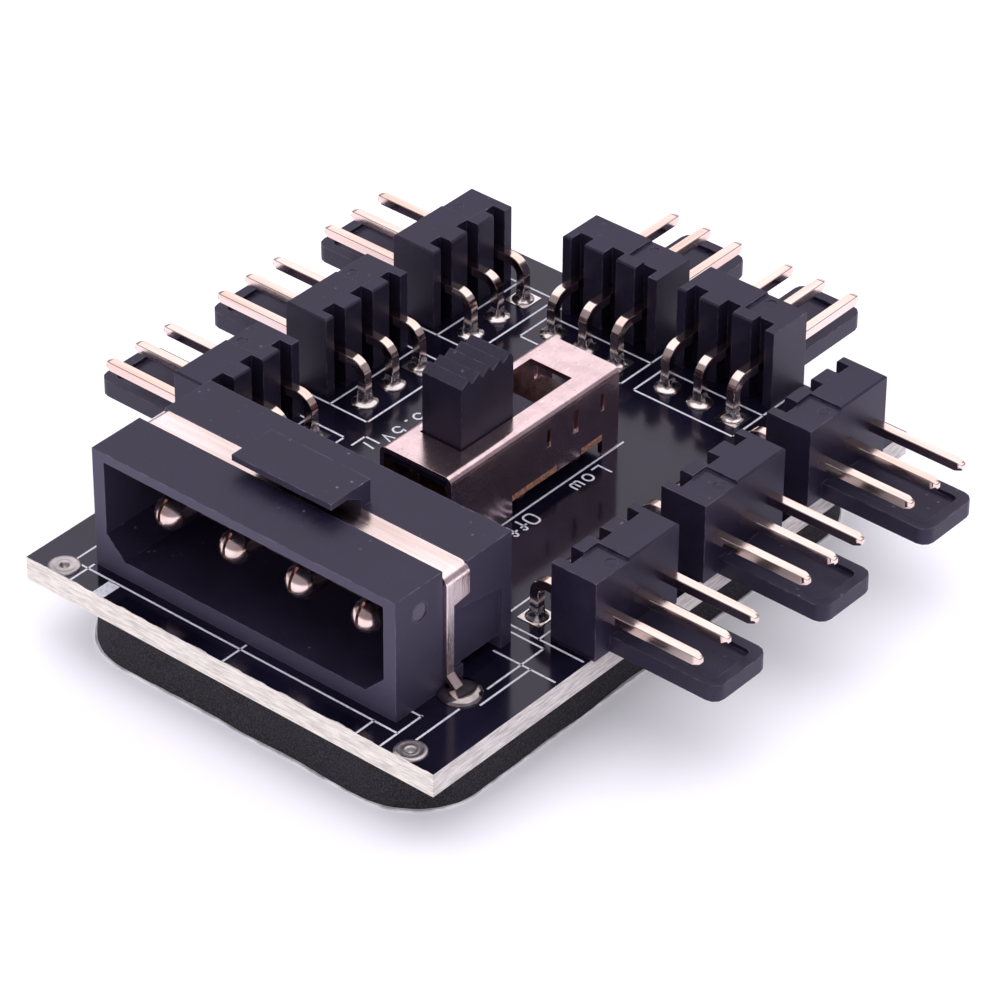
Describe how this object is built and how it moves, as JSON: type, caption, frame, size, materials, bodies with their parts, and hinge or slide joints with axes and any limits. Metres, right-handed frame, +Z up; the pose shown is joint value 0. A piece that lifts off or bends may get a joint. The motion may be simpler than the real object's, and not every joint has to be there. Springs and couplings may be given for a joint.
{
  "type": "pc fan controller hub",
  "caption": "Stick-on circuit board hub: a side-entry power inlet and rows of three-pin fan headers round a slide switch with a ridged lever.",
  "frame": {"origin": "middle of the pad's underside, the face that sticks to a panel", "axes": "+Z up out of the board's top, +Y away from the power inlet, +X to the right seen from the inlet side"},
  "size_m": [0.0482, 0.0515, 0.0161],
  "materials": {
    "board": "glossy black solder mask, cream fibre edge",
    "liner": "thin pale release liner",
    "foam": "fine closed-cell foam",
    "film": "thin adhesive film",
    "solder": "bright flowed solder",
    "housing": "fine matte grain",
    "pin": "tinned, bright",
    "strap": "tinned, streaked along its length",
    "nickel": "satin nickel plate",
    "resin": "cut resin-paper board",
    "lever": "moulded, ridged grip",
    "contact": "silver-plated"
  },
  "bodies": {
    "hub": {"circuit_board": "board", "release_liner": "liner", "foam_pad": "foam", "adhesive_film": "film", "edge_pads": "solder", "power_housing": "housing", "power_strap": "strap", "power_solder": "solder", "power_pin_1": "pin", "power_pin_2": "pin", "power_pin_3": "pin", "power_pin_4": "pin", "right_header_1_housing": "housing", "right_header_1_pin_1": "pin", "right_header_1_pin_2": "pin", "right_header_1_pin_3": "pin", "left_header_1_housing": "housing", "left_header_1_pin_1": "pin", "left_header_1_pin_2": "pin", "left_header_1_pin_3": "pin", "right_header_2_housing": "housing", "right_header_2_pin_1": "pin", "right_header_2_pin_2": "pin", "right_header_2_pin_3": "pin", "left_header_2_housing": "housing", "left_header_2_pin_1": "pin", "left_header_2_pin_2": "pin", "left_header_2_pin_3": "pin", "right_header_3_housing": "housing", "right_header_3_pin_1": "pin", "right_header_3_pin_2": "pin", "right_header_3_pin_3": "pin", "left_header_3_housing": "housing", "left_header_3_pin_1": "pin", "left_header_3_pin_2": "pin", "left_header_3_pin_3": "pin", "rear_header_1_housing": "housing", "rear_header_1_pin_1": "pin", "rear_header_1_pin_2": "pin", "rear_header_1_pin_3": "pin", "rear_header_2_housing": "housing", "rear_header_2_pin_1": "pin", "rear_header_2_pin_2": "pin", "rear_header_2_pin_3": "pin", "left_header_solder": "solder", "right_header_solder": "solder", "rear_header_solder": "solder", "switch_cover": "nickel", "switch_base": "resin", "switch_solder": "solder", "switch_terminal_left_1": "contact", "switch_terminal_left_2": "contact", "switch_terminal_left_3": "contact", "switch_terminal_right_1": "contact", "switch_terminal_right_2": "contact", "switch_terminal_right_3": "contact"},
    "slider": {"switch_lever": "lever", "switch_bridge_left": "contact", "switch_bridge_right": "contact"}
  },
  "joints": [
    {"name": "lever_slide", "type": "slide", "parent": "hub", "child": "slider", "axis": [0, 1, 0], "range_m": [0, 0.00523]}
  ]
}
